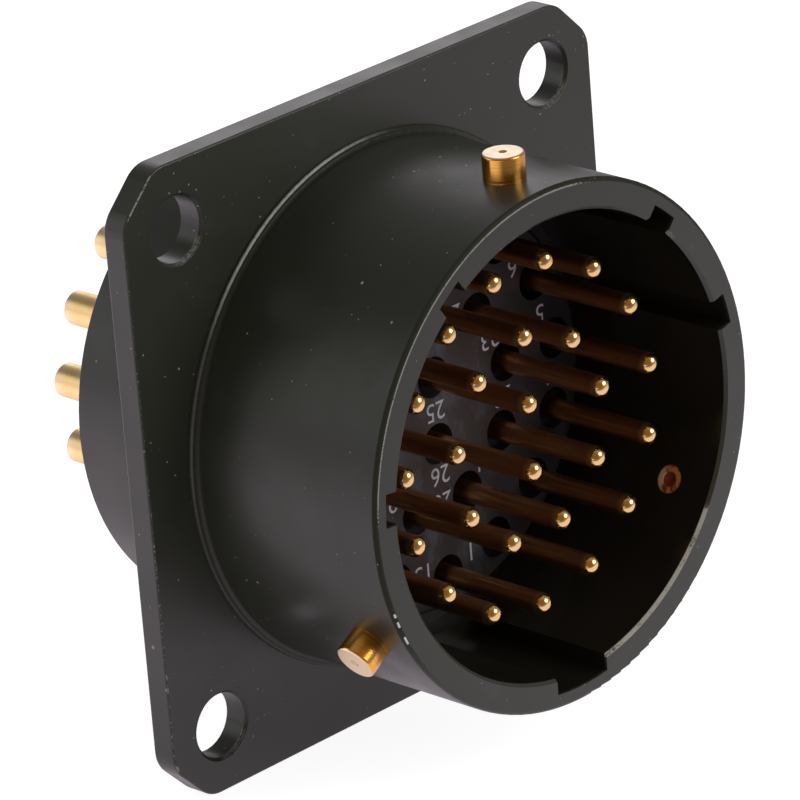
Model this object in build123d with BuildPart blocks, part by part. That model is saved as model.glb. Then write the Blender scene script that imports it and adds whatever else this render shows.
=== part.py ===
"""Square-flange box receptacle of a bayonet circular connector, with 26 pin contacts.

Lengths are in millimetres. The frame's origin is the centre of the flange's seating
face, on the connector's axis. The mating end looks along -Y, the solder cups along +Y,
and the main keyway is at the bottom, towards -Z. A "height" is a distance forward of
the seating face, so the mouth has the largest height and the solder cups the smallest.
"""
import os
from math import cos, radians, sin

from build123d import *

# Flange
flange_side = 31.10
flange_thickness = 1.30
flange_corner_clip = 2.15
flange_corner_round = 1.60
flange_edge_round = 0.10
bolt_edge_margin = 3.245
bolt_hole_diameter = 3.15
bolt_hole_chamfer = 0.14

# Coupling barrel, in front of the flange
barrel_radius = 12.635
barrel_length = 11.51
barrel_wall = 1.50
barrel_root_fillet = 0.18
root_step_reach = 0.365
root_step_height = 0.25
root_step_round = 0.12
mouth_outer_round = 0.20
mouth_inner_chamfer = 0.15
keyway_depth = 0.80
keyway_length = 8.40
main_keyway_width = 3.40
minor_keyway_width = 1.60
main_keyway_turn = -90.0
minor_keyway_turns = (105.0, 140.0, 215.0, 265.0)

# Bayonet pins: the head stands on a seat sunk in the barrel, the shank is pressed through its wall
bayonet_pin_diameter = 2.00
bayonet_shank_diameter = 1.42
bayonet_seat_depth = 0.50
bayonet_pin_reach = 1.30
bayonet_pin_setback = 2.65
bayonet_pin_edge_round = 0.12
bayonet_pin_turns = {"top": 90.0, "left": 210.0, "right": 330.0}
dimple_diameter = 0.40
dimple_depth = 0.12
stake_diameter = 0.80
stake_depth = 0.15

# Rear barrel, which passes through the panel
rear_barrel_radius = 11.64
rear_barrel_length = 7.55
rear_barrel_wall = 0.85
rear_edge_chamfer = 0.25

# Insert and what holds it in the shell
cavity_depth = 8.26
insert_step_height = 1.40
ledge_thickness = 1.20
insert_face_radius = 9.90
insert_edge_round = 0.20
rear_insulator_thickness = 2.80
ring_thickness = 0.80
ring_setback = 0.60
ring_groove_depth = 0.40
ring_section = 1.20
ring_opening = 3.00
fit_gap = 0.05

# Contacts
pin_tip_setback = 1.84
pin_diameter = 1.02
pin_tip_round = 0.46
recess_diameter = 2.00
recess_depth = 1.60
shank_diameter = 1.50
shank_length = 2.80
collar_diameter = 2.20
collar_thickness = 1.20
cup_diameter = 1.68
cup_bore_diameter = 1.20
cup_bore_depth = 3.20
cup_reach = 4.05
scoop_length = 2.00
scoop_lip = 0.25
cup_edge_round = 0.12

# Contact pattern: three circles, the outer one counted from the main keyway
outer_circle_radius = 8.36
outer_circle_count = 15
middle_circle_radius = 4.98
middle_circle_count = 9
inner_circle_radius = 1.67
inner_circle_count = 2

# Heights along the axis
mouth_height = flange_thickness + barrel_length
root_top_height = flange_thickness + root_step_height
bayonet_pin_height = mouth_height - bayonet_pin_setback
insert_face_height = mouth_height - cavity_depth
ledge_front_height = insert_face_height - insert_step_height
ledge_rear_height = ledge_front_height - ledge_thickness
rear_end_height = -rear_barrel_length
ring_rear_height = rear_end_height + ring_setback
ring_front_height = ring_rear_height + ring_thickness
insert_split_height = ring_front_height + rear_insulator_thickness
pin_tip_height = mouth_height - pin_tip_setback
collar_front_height = insert_split_height + collar_thickness
shank_front_height = collar_front_height + shank_length
cup_end_height = rear_end_height - cup_reach

# Sizes across the axis, worked out from the walls and fits
bolt_spacing = flange_side - 2 * bolt_edge_margin
bore_radius = barrel_radius - barrel_wall
root_step_radius = barrel_radius + root_step_reach
keyway_floor_radius = bore_radius + keyway_depth
coupling_radius = barrel_radius + bayonet_pin_reach
bayonet_seat_radius = barrel_radius - bayonet_seat_depth
rear_bore_radius = rear_barrel_radius - rear_barrel_wall
insert_radius = rear_bore_radius - fit_gap
ledge_radius = insert_face_radius + fit_gap
ring_groove_radius = rear_bore_radius + ring_groove_depth
ring_outer_radius = ring_groove_radius - fit_gap
ring_inner_radius = ring_outer_radius - ring_section

# Plane whose local axes are (radius, height), for the turned profiles
turning_plane = Plane(origin=(0, 0, 0), x_dir=(1, 0, 0), z_dir=(0, 0, -1))


def cross_plane(height):
    """Plane across the axis at a height, looking forward, with X right and Z up."""
    return Plane.XZ.offset(height)


def radial_plane(turn, distance):
    """Plane that looks outward at a turn from +X, at the height of the bayonet pins."""
    outward = (cos(radians(turn)), 0, sin(radians(turn)))
    middle = Plane(origin=(0, -bayonet_pin_height, 0), x_dir=(0, 1, 0), z_dir=outward)
    return middle.offset(distance)


def contact_places():
    """Centres (x, z) of the contacts, from the outer circle inward."""
    circles = (
        (outer_circle_radius, outer_circle_count, main_keyway_turn),
        (middle_circle_radius, middle_circle_count, main_keyway_turn + 180.0),
        (inner_circle_radius, inner_circle_count, main_keyway_turn + 180.0),
    )
    places = []
    for radius, count, first_turn in circles:
        for step in range(count):
            turn = radians(first_turn + step * 360.0 / count)
            places.append((radius * cos(turn), radius * sin(turn)))
    return places


os.makedirs("parts", exist_ok=True)

# Shell: flange, coupling barrel and rear barrel, turned and milled from one piece
with BuildPart() as shell:
    with BuildSketch(cross_plane(0)):
        Rectangle(flange_side, flange_side)
    extrude(amount=flange_thickness)
    chamfer(shell.edges().filter_by(Axis.Y), flange_corner_clip)
    fillet(shell.edges().filter_by(Axis.Y), flange_corner_round)
    fillet(shell.faces().filter_by(Axis.Y).edges(), flange_edge_round)

    with BuildSketch(turning_plane):
        with BuildLine():
            Line((0, rear_end_height), (rear_barrel_radius - rear_edge_chamfer, rear_end_height))
            Line(
                (rear_barrel_radius - rear_edge_chamfer, rear_end_height),
                (rear_barrel_radius, rear_end_height + rear_edge_chamfer),
            )
            Line((rear_barrel_radius, rear_end_height + rear_edge_chamfer), (rear_barrel_radius, 0))
            Line((rear_barrel_radius, 0), (root_step_radius, 0))
            Line((root_step_radius, 0), (root_step_radius, root_top_height - root_step_round))
            RadiusArc(
                (root_step_radius, root_top_height - root_step_round),
                (root_step_radius - root_step_round, root_top_height),
                -root_step_round,
            )
            Line(
                (root_step_radius - root_step_round, root_top_height),
                (barrel_radius + barrel_root_fillet, root_top_height),
            )
            RadiusArc(
                (barrel_radius + barrel_root_fillet, root_top_height),
                (barrel_radius, root_top_height + barrel_root_fillet),
                barrel_root_fillet,
            )
            Line(
                (barrel_radius, root_top_height + barrel_root_fillet),
                (barrel_radius, mouth_height - mouth_outer_round),
            )
            RadiusArc(
                (barrel_radius, mouth_height - mouth_outer_round),
                (barrel_radius - mouth_outer_round, mouth_height),
                -mouth_outer_round,
            )
            Line((barrel_radius - mouth_outer_round, mouth_height), (0, mouth_height))
            Line((0, mouth_height), (0, rear_end_height))
        make_face()
    revolve(axis=Axis.Y)

    with BuildSketch(turning_plane):
        with BuildLine():
            Polyline(
                (0, mouth_height),
                (bore_radius + mouth_inner_chamfer, mouth_height),
                (bore_radius, mouth_height - mouth_inner_chamfer),
                (bore_radius, ledge_front_height),
                (ledge_radius, ledge_front_height),
                (ledge_radius, ledge_rear_height),
                (rear_bore_radius, ledge_rear_height),
                (rear_bore_radius, ring_front_height),
                (ring_groove_radius, ring_front_height),
                (ring_groove_radius, ring_rear_height),
                (rear_bore_radius, ring_rear_height),
                (rear_bore_radius, rear_end_height),
                (0, rear_end_height),
                close=True,
            )
        make_face()
    revolve(axis=Axis.Y, mode=Mode.SUBTRACT)

    with BuildSketch(cross_plane(mouth_height)):
        with PolarLocations(bore_radius, 1, main_keyway_turn):
            Rectangle(4 * keyway_depth, main_keyway_width)
        for minor_turn in minor_keyway_turns:
            with PolarLocations(bore_radius, 1, main_keyway_turn + minor_turn):
                Rectangle(4 * keyway_depth, minor_keyway_width)
        Circle(keyway_floor_radius, mode=Mode.INTERSECT)
    extrude(amount=-keyway_length, mode=Mode.SUBTRACT)

    for pin_turn in bayonet_pin_turns.values():
        with BuildSketch(radial_plane(pin_turn, bore_radius - barrel_wall)):
            Circle(bayonet_shank_diameter / 2)
        extrude(amount=2 * barrel_wall, mode=Mode.SUBTRACT)
        with BuildSketch(radial_plane(pin_turn, bayonet_seat_radius)):
            Circle(bayonet_pin_diameter / 2)
        extrude(amount=barrel_wall, mode=Mode.SUBTRACT)

    with BuildSketch(cross_plane(0)):
        with GridLocations(bolt_spacing, bolt_spacing, 2, 2):
            Circle(bolt_hole_diameter / 2)
    extrude(amount=flange_thickness, mode=Mode.SUBTRACT)
    front_edges = shell.edges().filter_by_position(Axis.Y, -flange_thickness, -flange_thickness)
    front_circles = front_edges.filter_by(GeomType.CIRCLE).filter_by(lambda edge: edge.is_closed)
    chamfer(front_circles.group_by(SortBy.RADIUS)[0], bolt_hole_chamfer)
shell.part.label = "shell"
export_step(shell.part, "parts/shell.step")

# Bayonet pins: pressed in from outside until the head is on its seat, flush with the bore
for side, pin_turn in bayonet_pin_turns.items():
    with BuildPart() as bayonet_pin:
        with BuildSketch(radial_plane(pin_turn, bore_radius)):
            Circle(bayonet_shank_diameter / 2)
        extrude(amount=bayonet_seat_radius - bore_radius)
        with BuildSketch(radial_plane(pin_turn, bayonet_seat_radius)):
            Circle(bayonet_pin_diameter / 2)
        extrude(amount=coupling_radius - bayonet_seat_radius)
        outer_face = bayonet_pin.faces().filter_by(GeomType.PLANE).sort_by_distance((0, 0, 0))[-1]
        fillet(outer_face.edges(), bayonet_pin_edge_round)
        with Locations(radial_plane(pin_turn, coupling_radius)):
            Cone(
                bottom_radius=0,
                top_radius=dimple_diameter / 2,
                height=dimple_depth,
                align=(Align.CENTER, Align.CENTER, Align.MAX),
                mode=Mode.SUBTRACT,
            )
        with Locations(radial_plane(pin_turn, bore_radius)):
            Cone(
                bottom_radius=stake_diameter / 2,
                top_radius=0,
                height=stake_depth,
                align=(Align.CENTER, Align.CENTER, Align.MIN),
                mode=Mode.SUBTRACT,
            )
    bayonet_pin.part.label = f"bayonet_pin_{side}"
    export_step(bayonet_pin.part, f"parts/bayonet_pin_{side}.step")

# Insert face: soft disc seen down the barrel, with a recess round every pin
with BuildPart() as insert_face:
    with BuildSketch(cross_plane(ledge_rear_height)):
        Circle(insert_face_radius)
    extrude(amount=insert_face_height - ledge_rear_height)
    front_rim = insert_face.edges().filter_by_position(
        Axis.Y, -insert_face_height, -insert_face_height
    )
    fillet(front_rim, insert_edge_round)
    with BuildSketch(cross_plane(insert_face_height)):
        with Locations(*contact_places()):
            Circle(recess_diameter / 2)
    extrude(amount=-recess_depth, mode=Mode.SUBTRACT)
    with BuildSketch(cross_plane(ledge_rear_height)):
        with Locations(*contact_places()):
            Circle(pin_diameter / 2 + fit_gap)
    extrude(amount=insert_face_height - ledge_rear_height, mode=Mode.SUBTRACT)
insert_face.part.label = "insert_face"
export_step(insert_face.part, "parts/insert_face.step")

# Insert body: hard disc behind the ledge, bored for the shanks and counterbored for the collars
with BuildPart() as insert_body:
    with BuildSketch(cross_plane(insert_split_height)):
        Circle(insert_radius)
    extrude(amount=ledge_rear_height - insert_split_height)
    with BuildSketch(cross_plane(insert_split_height)):
        with Locations(*contact_places()):
            Circle(pin_diameter / 2 + fit_gap)
    extrude(amount=ledge_rear_height - insert_split_height, mode=Mode.SUBTRACT)
    with BuildSketch(cross_plane(insert_split_height)):
        with Locations(*contact_places()):
            Circle(shank_diameter / 2 + fit_gap)
    extrude(amount=shank_front_height - insert_split_height, mode=Mode.SUBTRACT)
    with BuildSketch(cross_plane(insert_split_height)):
        with Locations(*contact_places()):
            Circle(collar_diameter / 2 + fit_gap)
    extrude(amount=collar_thickness, mode=Mode.SUBTRACT)
insert_body.part.label = "insert_body"
export_step(insert_body.part, "parts/insert_body.step")

# Rear insulator: soft disc that the solder cups pass through
with BuildPart() as rear_insulator:
    with BuildSketch(cross_plane(ring_front_height)):
        Circle(insert_radius)
        with Locations(*contact_places()):
            Circle(cup_diameter / 2 + fit_gap, mode=Mode.SUBTRACT)
    extrude(amount=rear_insulator_thickness)
rear_insulator.part.label = "rear_insulator"
export_step(rear_insulator.part, "parts/rear_insulator.step")

# Retaining ring: sprung into its groove behind the rear insulator, open at the top
with BuildPart() as retaining_ring:
    with BuildSketch(cross_plane(ring_rear_height)):
        Circle(ring_outer_radius)
        Circle(ring_inner_radius, mode=Mode.SUBTRACT)
        with Locations((0, ring_inner_radius)):
            Rectangle(ring_opening, 4 * ring_section, mode=Mode.SUBTRACT)
    extrude(amount=ring_thickness)
retaining_ring.part.label = "retaining_ring"
export_step(retaining_ring.part, "parts/retaining_ring.step")

# Contacts: pin, shank, collar and solder cup turned in one, numbered from the main keyway
for number, (place_x, place_z) in enumerate(contact_places(), start=1):
    with BuildPart() as contact:
        with BuildSketch(turning_plane):
            with BuildLine():
                Polyline(
                    (0, pin_tip_height),
                    (0, cup_end_height),
                    (cup_diameter / 2, cup_end_height),
                    (cup_diameter / 2, insert_split_height),
                    (collar_diameter / 2, insert_split_height),
                    (collar_diameter / 2, collar_front_height),
                    (shank_diameter / 2, collar_front_height),
                    (shank_diameter / 2, shank_front_height),
                    (pin_diameter / 2, shank_front_height),
                    (pin_diameter / 2, pin_tip_height - pin_tip_round),
                )
                RadiusArc(
                    (pin_diameter / 2, pin_tip_height - pin_tip_round),
                    (pin_diameter / 2 - pin_tip_round, pin_tip_height),
                    -pin_tip_round,
                )
                Line((pin_diameter / 2 - pin_tip_round, pin_tip_height), (0, pin_tip_height))
            make_face()
        revolve(axis=Axis.Y)
        cup_end = contact.faces().sort_by(Axis.Y)[-1]
        fillet(cup_end.edges(), cup_edge_round)
        with BuildSketch(cross_plane(cup_end_height)):
            Circle(cup_bore_diameter / 2)
        extrude(amount=cup_bore_depth, mode=Mode.SUBTRACT)
        with BuildSketch(Plane.XY):
            with BuildLine():
                Polyline(
                    (cup_diameter, -cup_end_height - scoop_length - cup_diameter / 2),
                    (scoop_lip, -cup_end_height - scoop_length),
                    (scoop_lip, -cup_end_height + scoop_lip),
                    (cup_diameter, -cup_end_height + scoop_lip),
                    close=True,
                )
            make_face()
        extrude(amount=cup_diameter, both=True, mode=Mode.SUBTRACT)
    contact_piece = contact.part.moved(Location((place_x, 0, place_z)))
    contact_piece.label = f"contact_{number:02d}"
    export_step(contact_piece, f"parts/contact_{number:02d}.step")
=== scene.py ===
"""Finishes, contact numbers, studio light and camera for a bayonet circular connector.

Everything is in metres, in the part's own frame: the mating end looks along -Y, the
solder cups along +Y, and the origin is in the flange's seating face on the axis.
Turns round the axis are counted from +X towards +Z, in degrees unless said otherwise.
"""
from math import cos, pi, radians, sin

import bmesh
import bpy
from mathutils import Matrix, Quaternion, Vector


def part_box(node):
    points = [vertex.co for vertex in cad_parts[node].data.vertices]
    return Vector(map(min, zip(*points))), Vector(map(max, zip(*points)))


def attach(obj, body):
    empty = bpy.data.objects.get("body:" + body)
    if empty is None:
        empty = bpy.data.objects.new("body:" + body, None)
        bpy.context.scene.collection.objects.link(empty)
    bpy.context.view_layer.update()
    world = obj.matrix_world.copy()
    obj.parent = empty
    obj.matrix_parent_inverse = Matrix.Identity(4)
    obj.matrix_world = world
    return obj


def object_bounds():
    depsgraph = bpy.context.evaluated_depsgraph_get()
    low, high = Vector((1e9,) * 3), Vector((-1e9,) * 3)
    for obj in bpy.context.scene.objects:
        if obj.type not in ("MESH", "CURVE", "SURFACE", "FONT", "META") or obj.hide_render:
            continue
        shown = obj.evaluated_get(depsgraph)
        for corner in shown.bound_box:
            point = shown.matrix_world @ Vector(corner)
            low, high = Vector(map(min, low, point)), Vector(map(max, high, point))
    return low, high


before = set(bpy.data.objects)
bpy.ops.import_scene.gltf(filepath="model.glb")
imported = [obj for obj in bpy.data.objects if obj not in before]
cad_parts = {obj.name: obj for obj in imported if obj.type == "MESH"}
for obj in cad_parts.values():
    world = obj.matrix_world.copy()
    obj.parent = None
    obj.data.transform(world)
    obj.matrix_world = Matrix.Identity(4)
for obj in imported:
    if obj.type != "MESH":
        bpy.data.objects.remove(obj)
cad_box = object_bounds()

MM = 0.001

# Sizes of the part that the finishes follow
shell_low, shell_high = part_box("shell")
face_low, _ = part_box("insert_face")
contact_low, contact_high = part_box("contact_01")
flange_half = shell_high.x
mouth_y = shell_low.y
rear_end_y = shell_high.y
tip_y = contact_low.y
cup_end_y = contact_high.y
insert_face_y = face_low.y
flange_front_y = -1.30 * MM
flange_clip = 2.15 * MM
barrel_radius = 12.635 * MM
bore_radius = 11.135 * MM
root_step_radius = 13.00 * MM
mouth_outer_round = 0.20 * MM
mouth_inner_chamfer = 0.15 * MM
keyway_depth = 0.80 * MM
bayonet_pin_y = mouth_y + 2.65 * MM
bayonet_reach = 1.30 * MM
bolt_half_spacing = 12.305 * MM
bolt_hole_radius = 1.575 * MM
bolt_hole_chamfer = 0.14 * MM
pin_tip_length = 0.46 * MM

# Contact numbers: radius of their circle, how many, and turn of the first contact
outer_numbers = (7.86 * MM, 15, -90.0)
middle_numbers = (4.58 * MM, 9, 90.0)
lowest_number_z = -3.22 * MM
number_height = 0.98 * MM
text_size_to_height = 1.35
number_thinning = -0.003 * MM
number_stand = 0.008 * MM

# Camera, at the photograph's viewing angle
camera_place = Vector((-0.20522, -0.20930, 0.11627))
camera_azimuth = -44.75
camera_elevation = 21.74
camera_roll = -4.64
camera_lens = 301.5
camera_sensor = 36.0
camera_near_limit = 0.01
camera_far_limit = 10.0


def rgb(red, green, blue):
    """An opaque colour."""
    return (red, green, blue, 1.0)


white = rgb(1.0, 1.0, 1.0)

# Light tent: brightness, colour, and the round patches in it. A patch has a direction,
# the cosines at which it starts and is full, and its strength.
tent_level = 0.30
tent_colour = rgb(1.0, 0.94, 1.0)
backdrop_patch = ((0.651, 0.664, 0.366), 0.93, 0.99, 0.70)
shade_patch = ((-0.37, 0.66, 0.65), 0.84, 0.97, 0.45)
room_patch = ((-0.654, -0.660, 0.370), 0.55, 0.85, 1.0)
room_colour = rgb(0.24, 0.135, 0.04)

# Lamps: name, place, width and power
lamps = (
    ("key_box", (0.19, -0.345, 0.180), 0.28, 0.60),
    ("rear_box", (-0.35, 0.35, 0.20), 0.35, 0.30),
    ("rim_box", (0.39, 0.398, 0.222), 0.25, 0.10),
)

# Floor: its reach, colours and glow. In reflections the glow changes with the place, over
# these ranges in metres: from the mouth, along the view, past the flange, to the left behind.
floor_half = 1.5
floor_pale = rgb(0.55, 0.55, 0.55)
floor_in_gloss = rgb(0.12, 0.12, 0.12)
floor_gloss_tint = rgb(1.0, 0.88, 1.0)
floor_camera_glow = 0.75
floor_diffuse_glow = 0.15
floor_close_gloss = 0.80
floor_wide_gloss = 0.40
floor_back_gloss = 0.85
floor_rear_share = 0.7
floor_view_x = 0.7
floor_view_y = 0.714
floor_mouth_gap = 0.02
floor_close_range = (0.035, 0.085)
floor_view_range = (-0.052, -0.022)
floor_rear_range = (-0.016, -0.004)
floor_back_range = (0.0, 0.05)

# Colours; a pair is mixed by noise
shell_blacks = (rgb(0.034, 0.039, 0.026), rgb(0.041, 0.043, 0.031))
shell_smudge = rgb(0.055, 0.054, 0.052)
bore_black = rgb(0.016, 0.014, 0.009)
worn_edge = rgb(0.36, 0.35, 0.31)
# Painted highlight on the edge of the root step
root_highlight_paint = rgb(0.51, 0.51, 0.46)
# Worn bore chamfer, with a painted highlight on it
chamfer_wear_and_highlight = rgb(0.50, 0.47, 0.39)
fresh_nick = rgb(0.95, 0.95, 0.92)
shell_dust = rgb(0.55, 0.54, 0.50)
brass_sides = (rgb(0.86, 0.43, 0.075), rgb(0.95, 0.53, 0.12))
brass_rings = rgb(0.52, 0.22, 0.03)
brass_ends = (rgb(0.90, 0.72, 0.44), rgb(0.97, 0.80, 0.54))
brass_grime = rgb(0.70, 0.56, 0.45)
brass_dimple = rgb(0.60, 0.48, 0.27)
staked_centre = rgb(0.30, 0.05, 0.02)
staked_lip = rgb(0.90, 0.33, 0.09)
staked_tarnish = rgb(0.24, 0.05, 0.02)
# Painted highlight on the staked lip
painted_staked_highlight = rgb(1.0, 0.70, 0.36)
# Painted shade: darker, redder gold for the shafts inside the dim bore
shaded_gold_shafts = (rgb(0.63, 0.30, 0.13), rgb(0.73, 0.37, 0.17))
gold_tips = (rgb(0.84, 0.57, 0.23), rgb(0.88, 0.61, 0.28))
gold_cups = (rgb(0.88, 0.62, 0.26), rgb(0.94, 0.70, 0.33))
gold_cup_end = rgb(0.94, 0.74, 0.44)
soft_charcoals = (rgb(0.026, 0.024, 0.023), rgb(0.054, 0.050, 0.048))
soft_smear = rgb(0.09, 0.095, 0.11)
# Painted shade for the right side of the insert face
painted_face_shade = rgb(0.005, 0.004, 0.004)
soft_dust = rgb(0.34, 0.29, 0.28)
hard_charcoals = (rgb(0.026, 0.024, 0.022), rgb(0.040, 0.037, 0.034))
ring_greys = (rgb(0.32, 0.31, 0.29), rgb(0.44, 0.43, 0.41))
ink_greys = (rgb(0.40, 0.42, 0.45), rgb(0.70, 0.72, 0.77))


class Nodes:
    """Short calls for the node tree of one material or world."""

    def __init__(self, owner, coordinates="Object"):
        owner.use_nodes = True
        self.owner = owner
        self.tree = owner.node_tree
        self.tree.nodes.clear()
        self.coordinates = self.add("ShaderNodeTexCoord").outputs[coordinates]

    def add(self, kind, **settings):
        node = self.tree.nodes.new(kind)
        for key, value in settings.items():
            setattr(node, key, value)
        return node

    def put(self, socket, value):
        """Links a socket to another node's output, or sets it to a plain value."""
        if isinstance(value, bpy.types.NodeSocket):
            self.tree.links.new(value, socket)
        else:
            socket.default_value = value

    def fill(self, node, values):
        """Puts the values on the node's first sockets, in their order."""
        for socket, value in zip(node.inputs, values):
            self.put(socket, value)

    def maths(self, operation, first, second=0.0, third=0.0):
        node = self.add("ShaderNodeMath", operation=operation)
        self.fill(node, (first, second, third))
        return node.outputs[0]

    def plus(self, first, second):
        return self.maths("ADD", first, second)

    def minus(self, first, second):
        return self.maths("SUBTRACT", first, second)

    def size(self, value):
        """The number without its sign."""
        return self.maths("ABSOLUTE", value)

    def product(self, *values):
        result = values[0]
        for value in values[1:]:
            result = self.maths("MULTIPLY", result, value)
        return result

    def most(self, *values):
        result = values[0]
        for value in values[1:]:
            result = self.maths("MAXIMUM", result, value)
        return result

    def distance(self, across, up):
        """Distance from the middle of a plane, from its two coordinates."""
        square = self.plus(self.maths("POWER", across, 2.0), self.maths("POWER", up, 2.0))
        return self.maths("SQRT", square)

    def turn(self, across, up):
        """Turn round the middle of a plane in radians, from its two coordinates."""
        return self.maths("ARCTAN2", up, across)

    def axes(self):
        """The three coordinates of a point of the part, in metres."""
        node = self.add("ShaderNodeSeparateXYZ")
        self.put(node.inputs[0], self.coordinates)
        return node.outputs

    def mapped(self, location, stretch=(1.0, 1.0, 1.0)):
        """The coordinates, stretched and then moved."""
        node = self.add("ShaderNodeMapping")
        self.put(node.inputs["Vector"], self.coordinates)
        node.inputs["Location"].default_value = location
        node.inputs["Scale"].default_value = stretch
        return node.outputs[0]

    def noise(self, size, shift, detail=3.0, roughness=0.5, stretch=(1.0, 1.0, 1.0)):
        """Noise from 0 to 1 with features of about this size, in metres."""
        node = self.add("ShaderNodeTexNoise")
        place = self.mapped((shift, shift * 1.7, shift * 2.3), stretch)
        self.put(node.inputs["Vector"], place)
        node.inputs["Scale"].default_value = 1.0 / size
        node.inputs["Detail"].default_value = detail
        node.inputs["Roughness"].default_value = roughness
        return node.outputs[0]

    def lines(self, value, size, detail=2.0):
        """Noise from 0 to 1 along one value only, such as turned lines along a radius."""
        node = self.add("ShaderNodeTexNoise", noise_dimensions="1D")
        self.put(node.inputs["W"], value)
        node.inputs["Scale"].default_value = 1.0 / size
        node.inputs["Detail"].default_value = detail
        return node.outputs[0]

    def ramp(self, value, low, high, to_low=0.0, to_high=1.0, smooth=True):
        """Takes value from low..high to to_low..to_high, held at both ends."""
        kind = "SMOOTHSTEP" if smooth else "LINEAR"
        node = self.add("ShaderNodeMapRange", interpolation_type=kind, clamp=True)
        self.fill(node, (value, low, high, to_low, to_high))
        return node.outputs[0]

    def fall(self, value, low, high):
        """1 where value is under low, 0 where it is over high."""
        return self.ramp(value, low, high, 1.0, 0.0)

    def spread(self, noise, to_low, to_high):
        """Takes the usual range of a noise to to_low..to_high."""
        return self.ramp(noise, 0.3, 0.7, to_low, to_high)

    def near(self, value, centre, width):
        """1 where value is within width of centre, fading to 0 at twice that."""
        return self.fall(self.size(self.minus(value, centre)), width, 2 * width)

    def mix(self, factor, first, second):
        """Colour between two colours."""
        node = self.add("ShaderNodeMix", data_type="RGBA")
        for index, value in ((0, factor), (6, first), (7, second)):
            self.put(node.inputs[index], value)
        return node.outputs[2]

    def blend(self, factor, first, second):
        """Number between two numbers."""
        node = self.add("ShaderNodeMix", data_type="FLOAT")
        for index, value in ((0, factor), (2, first), (3, second)):
            self.put(node.inputs[index], value)
        return node.outputs[0]

    def bump(self, height, distance, strength):
        node = self.add("ShaderNodeBump")
        node.inputs["Strength"].default_value = strength
        node.inputs["Distance"].default_value = distance
        self.put(node.inputs["Height"], height)
        return node.outputs[0]

    def specks(self, cell, dot, share, shift):
        """Sparse round dots up to this wide, each with its own strength from 0 to 1."""
        cells = self.add("ShaderNodeTexVoronoi", feature="F1")
        self.put(cells.inputs["Vector"], self.mapped((shift, shift, shift)))
        cells.inputs["Scale"].default_value = 1.0 / cell
        chance = self.add("ShaderNodeSeparateColor")
        self.put(chance.inputs[0], cells.outputs["Color"])
        pick, width, strength = chance.outputs
        chosen = self.maths("LESS_THAN", pick, share)
        reach = self.ramp(width, 0.0, 1.0, 0.25 * dot / cell, 0.5 * dot / cell, smooth=False)
        inside = self.fall(cells.outputs["Distance"], self.product(reach, 0.6), reach)
        return self.product(chosen, inside, self.ramp(strength, 0.0, 1.0, 0.15, 1.0))

    def principled(self, **values):
        """Adds the surface shader and the material's output, and returns the material."""
        shader = self.add("ShaderNodeBsdfPrincipled")
        names = {
            "colour": "Base Color",
            "metal": "Metallic",
            "rough": "Roughness",
            "normal": "Normal",
            "level": "Specular IOR Level",
            "glow_colour": "Emission Color",
            "glow": "Emission Strength",
        }
        for key, value in values.items():
            self.put(shader.inputs[names[key]], value)
        output = self.add("ShaderNodeOutputMaterial")
        self.put(output.inputs["Surface"], shader.outputs[0])
        return self.owner


def new_material(name):
    return Nodes(bpy.data.materials.new(name))


def turn_window(nodes, turn, centre, reach, soft):
    """1 within reach of a turn round the axis, fading to 0 over soft, all in degrees."""
    away = nodes.maths("WRAP", nodes.minus(turn, radians(centre)), pi, -pi)
    return nodes.fall(nodes.size(away), radians(reach), radians(reach + soft))


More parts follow.
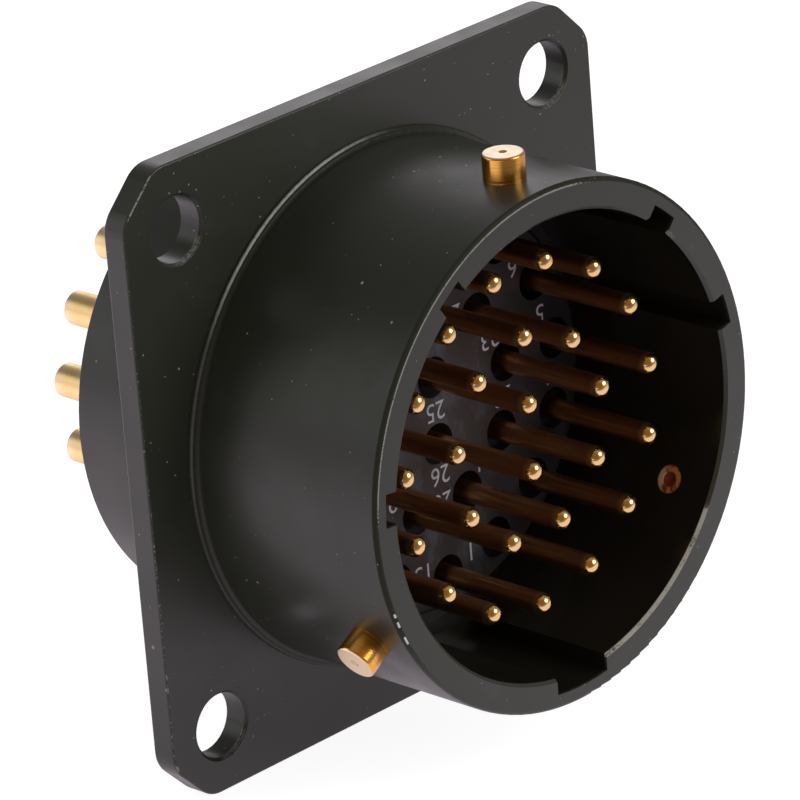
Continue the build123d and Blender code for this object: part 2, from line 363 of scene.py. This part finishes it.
class ShellPlace:
    """Where a point of the shell lies: its coordinates, radius and turn, and masks."""

    def __init__(self, nodes):
        self.nodes = nodes
        self.x, self.y, self.z = nodes.axes()
        self.radius = nodes.distance(self.x, self.z)
        self.turn = nodes.turn(self.x, self.z)
        self.inside = self.inside_barrel()
        self.outside = nodes.minus(1.0, self.inside)

    def window(self, centre, reach, soft):
        """1 within a range of turns round the axis."""
        return turn_window(self.nodes, self.turn, centre, reach, soft)

    def inside_barrel(self):
        """1 on the walls of the bore, its keyways and the rear bore."""
        nodes = self.nodes
        over_keyways = bore_radius + keyway_depth + 0.2 * MM
        over_bore = bore_radius + 0.25 * MM
        step_low, step_high = flange_front_y - 0.2 * MM, flange_front_y - 0.1 * MM
        wall = nodes.ramp(self.y, step_low, step_high, over_keyways, over_bore)
        within = nodes.fall(nodes.minus(self.radius, wall), -0.02 * MM, 0.02 * MM)
        behind_rim = nodes.ramp(self.y, mouth_y + 0.12 * MM, mouth_y + 0.18 * MM)
        before_end = nodes.fall(self.y, rear_end_y - 0.08 * MM, rear_end_y - 0.02 * MM)
        return nodes.product(within, behind_rim, before_end)

    def on_rim(self):
        """1 on the mouth's flat rim."""
        return self.nodes.ramp(self.y, mouth_y + 0.10 * MM, mouth_y + 0.05 * MM, 0.0, 1.0)

    def on_mouth_round(self):
        """1 on the round of the mouth's outer edge, on the left side."""
        nodes = self.nodes
        soft = 1.1 * mouth_outer_round
        return nodes.product(
            nodes.ramp(self.y, mouth_y + soft, mouth_y + mouth_outer_round, 0.0, 1.0),
            nodes.ramp(self.radius, barrel_radius - soft, barrel_radius - mouth_outer_round),
            self.window(120.0, 80.0, 25.0),
        )

    def on_barrel_side(self):
        """1 on the barrel's outer side, in front of the root step."""
        nodes = self.nodes
        ahead = nodes.fall(self.y, flange_front_y - 0.30 * MM, flange_front_y - 0.24 * MM)
        side = nodes.ramp(self.radius, barrel_radius - 0.12 * MM, barrel_radius - 0.04 * MM)
        return nodes.product(ahead, self.outside, side)

    def before_flange(self, gap, full_gap):
        """1 from 0.5 mm in front of the flange to full_gap from it, fading to 0 at gap."""
        nodes = self.nodes
        far = nodes.ramp(self.y, flange_front_y - 0.60 * MM, flange_front_y - 0.50 * MM)
        close = nodes.ramp(self.y, flange_front_y - gap, flange_front_y - full_gap)
        return nodes.product(far, close)

    def low_left_root(self):
        """1 on the root step and its fillet, at the left and below."""
        ahead = self.before_flange(0.02 * MM, 0.06 * MM)
        return self.nodes.product(ahead, self.window(200.0, 50.0, 30.0), self.outside)

    def upper_root(self):
        """1 on the root step, above."""
        nodes = self.nodes
        ahead = self.before_flange(0.04 * MM, 0.08 * MM)
        step, past_step = root_step_radius + 0.01 * MM, root_step_radius + 0.03 * MM
        on_step = nodes.fall(self.radius, step, past_step)
        return nodes.product(ahead, on_step, self.window(105.0, 30.0, 25.0), self.outside)


def flange_nick(at, front):
    """A small nick in the edge of the flange's front, at the lower left."""
    nodes = at.nodes
    nick_x, nick_z, squeeze = -15.42 * MM, -13.40 * MM, 0.6
    up = nodes.product(nodes.minus(at.z, nick_z), squeeze)
    distance = nodes.distance(nodes.minus(at.x, nick_x), up)
    return nodes.product(nodes.fall(distance, 0.10 * MM, 0.16 * MM), front)


def flange_wear(at):
    """Fine bright grains along the flange's front and rear edges, and one nick."""
    nodes = at.nodes
    off_x, off_z = nodes.size(at.x), nodes.size(at.z)
    clip = 2 * flange_half - flange_clip
    on_side = nodes.near(nodes.most(off_x, off_z), flange_half - 0.05 * MM, 0.03 * MM)
    on_clip = nodes.near(nodes.plus(off_x, off_z), clip - 0.07 * MM, 0.04 * MM)
    front = nodes.fall(at.y, flange_front_y + 0.02 * MM, flange_front_y + 0.06 * MM)
    rear = nodes.ramp(at.y, -0.06 * MM, -0.02 * MM)
    left = nodes.ramp(at.x, -15.0 * MM, -15.3 * MM)
    far_left = nodes.ramp(at.x, -15.2 * MM, -15.4 * MM)
    low_left = nodes.product(far_left, nodes.ramp(at.z, 2.0 * MM, -4.0 * MM))
    upper_left = nodes.ramp(nodes.minus(at.z, at.x), 25.0 * MM, 26.5 * MM)
    grains = nodes.noise(0.13 * MM, shift=1.9, roughness=0.7)
    sparse = nodes.product(nodes.most(on_side, on_clip), front, nodes.ramp(grains, 0.60, 0.66))
    speckled = nodes.product(on_side, front, low_left, nodes.ramp(grains, 0.56, 0.60))
    dense = nodes.product(on_clip, front, upper_left, nodes.ramp(grains, 0.44, 0.52))
    at_rear = nodes.product(on_side, rear, left, nodes.ramp(grains, 0.42, 0.50))
    nick = flange_nick(at, front)
    return nodes.most(
        nodes.product(sparse, 0.7), dense, nodes.product(at_rear, 0.6), speckled, nick
    )


def rim_outer_line(at, grains):
    """Thin pale grainy line along the outside of the rim, strongest at the upper left."""
    nodes = at.nodes
    line = nodes.near(at.radius, barrel_radius - mouth_outer_round, 0.026 * MM)
    at_mouth = nodes.fall(at.y, mouth_y + 0.03 * MM, mouth_y + 0.06 * MM)
    upper_left = at.window(128.0, 42.0, 20.0)
    left = nodes.product(at.window(180.0, 70.0, 30.0), 0.55)
    elsewhere = 0.12
    strength = nodes.product(grains, nodes.most(upper_left, left, elsewhere))
    return nodes.product(line, at_mouth, nodes.ramp(strength, 0.34, 0.46))


def rim_inner_line(at, grains):
    """Wider worn line on the chamfer of the bore, with a painted highlight that makes it
    strongest at the lower right.
    """
    nodes = at.nodes
    chamfer_radius = bore_radius + mouth_inner_chamfer
    chamfer = nodes.fall(at.radius, chamfer_radius, chamfer_radius + 0.03 * MM)
    at_mouth = nodes.ramp(at.y, mouth_y + 0.15 * MM, mouth_y + 0.12 * MM)
    on_chamfer = nodes.product(chamfer, at_mouth)
    # Painted highlight: the chamfer's wear is strongest at the lower right, where it catches
    # the light
    lower_right = at.window(-62.0, 24.0, 14.0)
    by_keyway = nodes.product(at.window(46.0, 3.0, 3.0), 0.8)
    upper_left = nodes.product(at.window(150.0, 40.0, 30.0), 0.5)
    elsewhere = 0.2
    place = nodes.most(lower_right, by_keyway, upper_left, elsewhere)
    patches = nodes.noise(1.1 * MM, shift=2.9, detail=2.0)
    grain = nodes.plus(nodes.product(grains, 0.6), nodes.product(patches, 0.4))
    return nodes.product(on_chamfer, nodes.ramp(nodes.product(grain, place), 0.34, 0.52))


def rim_nicks(at):
    """A short row of bright nicks on the mouth's outer edge, at the lower left."""
    nodes = at.nodes
    line = nodes.near(at.radius, barrel_radius - 0.6 * mouth_outer_round, 0.030 * MM)
    along = nodes.product(at.turn, barrel_radius)
    marks = nodes.ramp(nodes.lines(along, 0.60 * MM), 0.49, 0.53)
    far, close = mouth_y + 1.5 * mouth_outer_round, mouth_y + mouth_outer_round
    near_mouth = nodes.ramp(at.y, far, close, 0.0, 1.0)
    return nodes.product(line, near_mouth, marks, at.window(-157.5, 4.0, 1.5))


def root_line(at):
    """Painted highlight: a bright line on the edge of the barrel's root step, strongest at the
    upper left where the key light catches it.
    """
    nodes = at.nodes
    line = nodes.near(at.radius, root_step_radius - 0.060 * MM, 0.032 * MM)
    low = nodes.ramp(at.y, flange_front_y - 0.32 * MM, flange_front_y - 0.28 * MM)
    front = nodes.fall(at.y, flange_front_y - 0.14 * MM, flange_front_y - 0.10 * MM)
    upper_left = at.window(118.0, 12.0, 26.0)
    left = nodes.product(at.window(150.0, 20.0, 25.0), 0.14)
    grain = nodes.noise(0.20 * MM, shift=1.2)
    strength = nodes.ramp(grain, 0.2, 0.6, 0.6, 1.0)
    return nodes.product(line, low, front, nodes.most(upper_left, left), strength)


def hole_wear(at):
    """Fine turned scratches on the lower right of each bolt hole's chamfer."""
    nodes = at.nodes
    off_x = nodes.minus(nodes.size(at.x), bolt_half_spacing)
    off_z = nodes.minus(nodes.size(at.z), bolt_half_spacing)
    distance = nodes.distance(off_x, off_z)
    signed_x = nodes.product(off_x, nodes.maths("SIGN", at.x))
    signed_z = nodes.product(off_z, nodes.maths("SIGN", at.z))
    lower_right = turn_window(nodes, nodes.turn(signed_x, signed_z), -62.0, 24.0, 16.0)
    chamfer_middle = bolt_hole_radius + 0.55 * bolt_hole_chamfer
    ring = nodes.near(distance, chamfer_middle, 0.5 * bolt_hole_chamfer)
    near_front = nodes.ramp(at.y, flange_front_y + 0.22 * MM, flange_front_y + 0.18 * MM)
    scratches = nodes.ramp(nodes.lines(distance, 0.035 * MM), 0.42, 0.62)
    grain = nodes.ramp(nodes.noise(0.12 * MM, shift=5.5, detail=2.0), 0.30, 0.60)
    return nodes.product(ring, near_front, lower_right, nodes.product(scratches, grain))


def shell_colour(at, wear_and_highlight, dust):
    """Black with smudges, darker inside, and pale where it is worn or dusty, with painted
    highlights on the root step and the bore's chamfer.
    """
    nodes = at.nodes
    tone = nodes.noise(6.0 * MM, shift=0.3, roughness=0.6)
    smudge = nodes.noise(
        2.2 * MM, shift=8.8, detail=4.0, roughness=0.6, stretch=(1.0, 0.6, 1.0)
    )
    colour = nodes.mix(tone, *shell_blacks)
    layers = (
        (nodes.product(nodes.ramp(smudge, 0.60, 0.74), 0.35), shell_smudge),
        (at.inside, bore_black),
        (wear_and_highlight["edges"], worn_edge),
        # Painted highlight on the edge of the root step
        (root_line(at), root_highlight_paint),
        # Worn bore chamfer, painted brighter at the lower right as a highlight
        (wear_and_highlight["chamfer"], chamfer_wear_and_highlight),
        (rim_nicks(at), fresh_nick),
        (nodes.product(dust, 0.8), shell_dust),
    )
    for share, over in layers:
        colour = nodes.mix(share, colour, over)
    return colour


def shell_roughness(at, wear_and_highlight, dust):
    """Satin outside, glossier inside; duller where worn, on the mouth's round and the root."""
    nodes = at.nodes
    smear = nodes.noise(2.5 * MM, shift=4.1)
    outside, inside = nodes.spread(smear, 0.31, 0.39), nodes.spread(smear, 0.20, 0.27)
    rough = nodes.blend(at.inside, outside, inside)
    marks = nodes.most(dust, wear_and_highlight["edges"], wear_and_highlight["chamfer"])
    duller = ((marks, 0.6), (at.on_mouth_round(), 0.46), (at.low_left_root(), 0.55))
    for share, least in duller:
        rough = nodes.most(rough, nodes.product(share, least))
    return rough


def shell_level(at):
    """Specular level: weaker on the barrel's side and on the rounds that face the light."""
    nodes = at.nodes
    side = nodes.blend(at.window(-125.0, 30.0, 40.0), 0.32, 0.42)
    level = nodes.blend(at.on_barrel_side(), 0.48, side)
    level = nodes.blend(at.upper_root(), level, 0.10)
    across_rim = nodes.ramp(at.x, -barrel_radius, barrel_radius, 0.36, 0.52, smooth=False)
    level = nodes.blend(at.on_rim(), level, across_rim)
    return nodes.blend(at.on_mouth_round(), level, 0.08)


def black_finish():
    """Satin black finish of the shell: fine grain, glossy bore, worn edges, painted highlights
    on the root step and the bore's chamfer, and dust.
    """
    nodes = new_material("black_finish")
    at = ShellPlace(nodes)
    rim_grains = nodes.noise(0.10 * MM, shift=3.7, roughness=0.7)
    outer_line = rim_outer_line(at, rim_grains)
    # Worn edges, and the bore chamfer's wear with its painted highlight
    wear_and_highlight = {
        "edges": nodes.most(flange_wear(at), outer_line, nodes.product(hole_wear(at), 0.9)),
        "chamfer": rim_inner_line(at, rim_grains),
    }
    small_dust = nodes.specks(0.42 * MM, 0.11 * MM, 0.24, shift=0.013)
    large_dust = nodes.specks(0.95 * MM, 0.22 * MM, 0.30, shift=0.031)
    dust = nodes.product(nodes.most(small_dust, large_dust), at.outside)
    grain = nodes.noise(0.08 * MM, shift=2.2, detail=4.0, roughness=0.6)
    return nodes.principled(
        colour=shell_colour(at, wear_and_highlight, dust),
        rough=shell_roughness(at, wear_and_highlight, dust),
        normal=nodes.bump(nodes.plus(grain, nodes.product(dust, 1.5)), 0.003 * MM, 0.5),
        level=shell_level(at),
    )


class BayonetPlace:
    """Where a point of a bayonet pin lies: distances from the connector's axis and the
    pin's own, and masks."""

    def __init__(self, nodes):
        self.nodes = nodes
        x, y, self.z = nodes.axes()
        self.radius = nodes.distance(x, self.z)
        from_top_pin = nodes.minus(nodes.turn(x, self.z), pi / 2)
        from_pin = nodes.maths("WRAP", from_top_pin, pi / 3, -pi / 3)
        across = nodes.product(self.radius, nodes.maths("SINE", from_pin))
        self.along = nodes.minus(y, bayonet_pin_y)
        self.off_line = nodes.distance(across, self.along)
        end_radius = barrel_radius + bayonet_reach
        near_end = nodes.ramp(self.radius, end_radius - 0.2 * MM, end_radius - 0.15 * MM)
        self.end = nodes.ramp(self.radius, end_radius - 0.020 * MM, end_radius - 0.004 * MM)
        self.dimple = nodes.product(nodes.fall(self.off_line, 0.16 * MM, 0.24 * MM), near_end)
        self.inner = nodes.fall(self.radius, bore_radius + 0.3 * MM, bore_radius + 0.6 * MM)
        self.lip = nodes.near(self.off_line, 0.52 * MM, 0.10 * MM)


def staked_colour(at):
    """Coppery inner end of a bayonet pin, with a bright lip round a dark centre, and a painted
    highlight on the lip's rear side.
    """
    nodes = at.nodes
    tarnish = nodes.ramp(nodes.noise(0.30 * MM, shift=4.8), 0.36, 0.56)
    copper = nodes.mix(tarnish, staked_tarnish, nodes.mix(at.lip, staked_centre, staked_lip))
    # Painted highlight on the rear side of the lip
    painted_glint = nodes.product(at.lip, nodes.ramp(at.along, 0.20 * MM, 0.45 * MM))
    return nodes.mix(painted_glint, copper, painted_staked_highlight)


def turned_brass():
    """Bayonet pins: gold-coloured metal with fine turned rings and a paler faced end."""
    nodes = new_material("turned_brass")
    at = BayonetPlace(nodes)
    rings = nodes.lines(at.radius, 0.055 * MM, detail=3.0)
    faced = nodes.lines(at.off_line, 0.06 * MM)
    patch = nodes.noise(0.5 * MM, shift=3.3)

    sides = nodes.mix(patch, *brass_sides)
    sides = nodes.mix(nodes.ramp(rings, 0.40, 0.70, 0.0, 0.30), sides, brass_rings)
    grimy = nodes.product(
        nodes.ramp(at.z, 0.0, 5.0 * MM), nodes.ramp(patch, 0.35, 0.65, 0.35, 1.0)
    )
    pale = nodes.mix(grimy, nodes.mix(faced, *brass_ends), brass_grime)
    colour = nodes.mix(at.dimple, nodes.mix(at.end, sides, pale), brass_dimple)
    colour = nodes.mix(at.inner, colour, staked_colour(at))

    rough_side = nodes.spread(rings, 0.17, 0.25)
    rough = nodes.blend(at.inner, nodes.blend(at.end, rough_side, 0.32), 0.40)
    groove = nodes.near(at.radius, barrel_radius + 0.14 * MM, 0.03 * MM)
    height = nodes.minus(nodes.product(rings, 0.4), groove)
    height = nodes.plus(height, nodes.product(at.end, faced, 0.4))
    height = nodes.plus(height, nodes.product(at.inner, at.lip, 14.0))
    return nodes.principled(
        colour=colour,
        metal=nodes.minus(1.0, nodes.product(at.inner, 0.75)),
        rough=rough,
        normal=nodes.bump(height, 0.004 * MM, 0.6),
    )


def gold_plate():
    """Contacts: polished gold balls at the tips, drawn shafts in a darker, redder gold that is
    painted shade for the dim bore, satin solder cups.
    """
    nodes = new_material("gold_plate")
    y = nodes.axes()[1]
    patch = nodes.noise(0.8 * MM, shift=5.2)
    drawn = nodes.noise(0.05 * MM, shift=1.1, detail=2.0, stretch=(1.0, 0.04, 1.0))
    at_tip = nodes.fall(y, tip_y + pin_tip_length, tip_y + 1.5 * pin_tip_length)
    at_cup = nodes.ramp(y, 0.0, 1.0 * MM)
    at_end = nodes.ramp(y, cup_end_y - 0.9 * MM, cup_end_y - 0.1 * MM)
    # The shafts' darker, redder gold is painted shade
    shaft, tip, cup = (nodes.mix(patch, *pair) for pair in (shaded_gold_shafts, gold_tips, gold_cups))
    cup = nodes.mix(at_end, cup, gold_cup_end)
    rough_shaft = nodes.spread(drawn, 0.31, 0.35)
    rough_tip = nodes.ramp(y, tip_y + 0.15 * MM, tip_y + pin_tip_length, 0.12, 0.34)
    rough_cup = nodes.spread(patch, 0.36, 0.42)
    return nodes.principled(
        colour=nodes.mix(at_cup, nodes.mix(at_tip, shaft, tip), cup),
        metal=1.0,
        rough=nodes.blend(at_cup, nodes.blend(at_tip, rough_shaft, rough_tip), rough_cup),
        normal=nodes.bump(drawn, 0.001 * MM, 0.07),
    )


def soft_insulator():
    """Charcoal moulded face and rear of the insert; painted shade darkens the face's right
    side, where the barrel's wall shades it.
    """
    nodes = new_material("soft_insulator")
    x, y, z = nodes.axes()
    tone = nodes.noise(2.0 * MM, shift=7.3, detail=4.0, roughness=0.6)
    smear = nodes.noise(
        1.3 * MM, shift=2.7, detail=4.0, roughness=0.65, stretch=(1.0, 1.0, 0.6)
    )
    grain = nodes.noise(0.08 * MM, shift=0.4)
    small_dust = nodes.specks(0.40 * MM, 0.10 * MM, 0.15, shift=0.021)
    large_dust = nodes.specks(1.10 * MM, 0.20 * MM, 0.08, shift=0.044)
    # Painted shade: the face darkens towards its right side, where the barrel's wall shades it
    to_right = nodes.plus(x, nodes.product(z, -0.10))
    shaded_right_side = nodes.ramp(to_right, 1.5 * MM, 4.8 * MM, 0.2, 0.85)
    in_front = nodes.fall(y, insert_face_y + 0.5 * MM, insert_face_y + 1.0 * MM)
    colour = nodes.mix(tone, *soft_charcoals)
    colour = nodes.mix(nodes.ramp(smear, 0.50, 0.68), colour, soft_smear)
    colour = nodes.mix(nodes.product(shaded_right_side, in_front), colour, painted_face_shade)
    colour = nodes.mix(nodes.most(small_dust, large_dust), colour, soft_dust)
    return nodes.principled(
        colour=colour,
        rough=nodes.spread(grain, 0.46, 0.56),
        normal=nodes.bump(grain, 0.003 * MM, 0.5),
        level=0.5,
    )


def hard_insulator():
    """Hard dielectric disc behind the ledge."""
    nodes = new_material("hard_insulator")
    tone = nodes.noise(1.5 * MM, shift=9.2)
    grain = nodes.noise(0.15 * MM, shift=1.4)
    return nodes.principled(
        colour=nodes.mix(tone, *hard_charcoals),
        rough=nodes.spread(grain, 0.40, 0.50),
        normal=nodes.bump(grain, 0.002 * MM, 0.5),
    )


def spring_steel():
    """Retaining ring: dull plated steel."""
    nodes = new_material("spring_steel")
    tone = nodes.noise(0.7 * MM, shift=6.4, detail=4.0)
    return nodes.principled(
        colour=nodes.mix(tone, *ring_greys),
        metal=1.0,
        rough=nodes.spread(tone, 0.30, 0.42),
        normal=nodes.bump(tone, 0.002 * MM, 0.4),
    )


def number_ink():
    """Pale bluish grey print of the contact numbers, a little patchy."""
    nodes = new_material("number_ink")
    patch = nodes.noise(0.12 * MM, shift=3.6)
    return nodes.principled(
        colour=nodes.mix(patch, *ink_greys),
        rough=nodes.spread(patch, 0.5, 0.65),
    )


def dress_parts():
    """Gives each solid of the part its material."""
    brass = turned_brass()
    gold = gold_plate()
    soft = soft_insulator()
    finishes = {
        "shell": black_finish(),
        "insert_face": soft,
        "insert_body": hard_insulator(),
        "rear_insulator": soft,
        "retaining_ring": spring_steel(),
    }
    for name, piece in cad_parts.items():
        if name.startswith("contact_"):
            finish = gold
        elif name.startswith("bayonet_pin_"):
            finish = brass
        else:
            finish = finishes[name]
        piece.data.materials.clear()
        piece.data.materials.append(finish)


def new_object(name, data):
    """Puts an object into the scene."""
    made = bpy.data.objects.new(name, data)
    bpy.context.scene.collection.objects.link(made)
    return made


def new_piece(name, built, material):
    """Puts what was built into the scene, as an object with one material."""
    mesh = bpy.data.meshes.new(name)
    built.to_mesh(mesh)
    built.free()
    mesh.materials.append(material)
    return new_object(name, mesh)


def number_places():
    """Centres (x, z) of the contacts' numbers, each beside its contact."""
    places = []
    for circle_radius, count, first_turn in (outer_numbers, middle_numbers):
        for step in range(count):
            turn = radians(first_turn + (step + 0.5) * 360.0 / count)
            places.append((circle_radius * cos(turn), circle_radius * sin(turn)))
    places.append((0.0, 0.0))
    places.append((0.0, lowest_number_z))
    return places


def number_mesh(number):
    """Flat mesh of a number, in the plane of X and Y."""
    curve = bpy.data.curves.new("number_text", "FONT")
    curve.body = str(number)
    curve.size = number_height * text_size_to_height
    curve.offset = number_thinning
    curve.align_x = "CENTER"
    curve.align_y = "CENTER"
    text = new_object("number_text", curve)
    bpy.context.view_layer.update()
    evaluated = text.evaluated_get(bpy.context.evaluated_depsgraph_get())
    mesh = bpy.data.meshes.new_from_object(evaluated)
    bpy.data.objects.remove(text)
    bpy.data.curves.remove(curve)
    return mesh


def contact_numbers():
    """Plain numbers printed on the insert's face, upside down like the rest of the view."""
    upside_down = Matrix.Rotation(pi, 4, "Y") @ Matrix.Rotation(pi / 2, 4, "X")
    built = bmesh.new()
    for number, (x, z) in enumerate(number_places(), start=1):
        mesh = number_mesh(number)
        place = Matrix.Translation((x, insert_face_y - number_stand, z))
        mesh.transform(place @ upside_down)
        built.from_mesh(mesh)
        bpy.data.meshes.remove(mesh)
    piece = new_piece("contact_numbers", built, number_ink())
    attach(piece, "root")


def floor_white():
    """White to the camera; in reflections brighter behind the object, dark far in front."""
    nodes = new_material("floor_white")
    x, y, _ = nodes.axes()
    behind = nodes.product(y, floor_view_y)
    away = nodes.plus(nodes.product(x, floor_view_x), behind)
    left_behind = nodes.plus(nodes.product(x, -floor_view_x), behind)
    from_mouth = nodes.distance(x, nodes.plus(y, floor_mouth_gap))
    near = nodes.ramp(from_mouth, *floor_close_range, floor_close_gloss, floor_wide_gloss)
    off_front = nodes.ramp(away, *floor_view_range)
    rear = nodes.ramp(y, *floor_rear_range, 1.0, floor_rear_share)
    back = nodes.ramp(left_behind, *floor_back_range, 0.0, floor_back_gloss)
    path = nodes.add("ShaderNodeLightPath").outputs
    by_camera = nodes.product(path["Is Camera Ray"], floor_camera_glow)
    in_gloss = nodes.plus(nodes.product(near, off_front, rear), back)
    by_gloss = nodes.product(path["Is Glossy Ray"], in_gloss)
    return nodes.principled(
        colour=nodes.mix(path["Is Glossy Ray"], floor_pale, floor_in_gloss),
        rough=0.9,
        level=0.0,
        glow_colour=nodes.mix(path["Is Glossy Ray"], white, floor_gloss_tint),
        glow=nodes.plus(nodes.plus(by_camera, by_gloss), floor_diffuse_glow),
    )


def ground():
    """Pale floor at the flange's lower edge, which keeps the object's shadow."""
    built = bmesh.new()
    signs = ((-1, -1), (1, -1), (1, 1), (-1, 1))
    corners = [(i * floor_half, j * floor_half, cad_box[0].z) for i, j in signs]
    built.faces.new([built.verts.new(corner) for corner in corners])
    floor = new_piece("floor", built, floor_white())


def tent_patch(nodes, direction, low, high, strength):
    """A soft round patch of the light tent, round a direction."""
    facing = nodes.add("ShaderNodeVectorMath", operation="DOT_PRODUCT")
    nodes.put(facing.inputs[0], nodes.coordinates)
    facing.inputs[1].default_value = direction
    return nodes.ramp(facing.outputs["Value"], low, high, 0.0, strength)


def background(nodes, colour, strength=1.0):
    shader = nodes.add("ShaderNodeBackground")
    nodes.put(shader.inputs["Color"], colour)
    nodes.put(shader.inputs["Strength"], strength)
    return shader.outputs[0]


def either(nodes, factor, first, second):
    """The first shader, or the second where factor is 1."""
    shader = nodes.add("ShaderNodeMixShader")
    nodes.fill(shader, (factor, first, second))
    return shader.outputs[0]


def surroundings():
    """Light tent: pure white to the camera, brightest at the backdrop behind the object."""
    world = bpy.data.worlds.new("tent")
    bpy.context.scene.world = world
    nodes = Nodes(world, coordinates="Generated")
    path = nodes.add("ShaderNodeLightPath").outputs
    level = nodes.plus(tent_patch(nodes, *backdrop_patch), tent_level)
    unshaded = nodes.minus(1.0, tent_patch(nodes, *shade_patch))
    tent = background(nodes, tent_colour, nodes.product(level, unshaded))
    in_room = nodes.product(tent_patch(nodes, *room_patch), path["Is Glossy Ray"])
    lit = either(nodes, in_room, tent, background(nodes, room_colour))
    seen = nodes.most(path["Is Camera Ray"], path["Is Transmission Ray"])
    output = nodes.add("ShaderNodeOutputWorld")
    nodes.put(output.inputs["Surface"], either(nodes, seen, lit, background(nodes, white)))


def soft_box(name, place, width, power):
    """A round studio lamp aimed at the object."""
    light = bpy.data.lights.new(name, "AREA")
    light.shape = "DISK"
    light.size = width
    light.energy = power
    lamp = new_object(name, light)
    lamp.location = place
    lamp.rotation_mode = "QUATERNION"
    lamp.rotation_quaternion = (-Vector(place)).to_track_quat("-Z", "Y")


def studio():
    """Soft key light from the upper right, and weaker ones behind on both sides."""
    for lamp in lamps:
        soft_box(*lamp)


def camera():
    """Camera at the photograph's angle."""
    azimuth = radians(camera_azimuth)
    level = cos(radians(camera_elevation))
    height = sin(radians(camera_elevation))
    back = Vector((sin(azimuth) * level, -cos(azimuth) * level, height))
    data = bpy.data.cameras.new("camera")
    data.lens = camera_lens
    data.sensor_width = camera_sensor
    data.clip_start = camera_near_limit
    data.clip_end = camera_far_limit
    eye = new_object("camera", data)
    eye.location = camera_place
    eye.rotation_mode = "QUATERNION"
    aim = (-back).to_track_quat("-Z", "Y")
    eye.rotation_quaternion = aim @ Quaternion((0.0, 0.0, 1.0), radians(camera_roll))
    bpy.context.scene.camera = eye


dress_parts()
contact_numbers()
ground()
surroundings()
studio()
camera()
bpy.context.scene.view_settings.view_transform = "Standard"
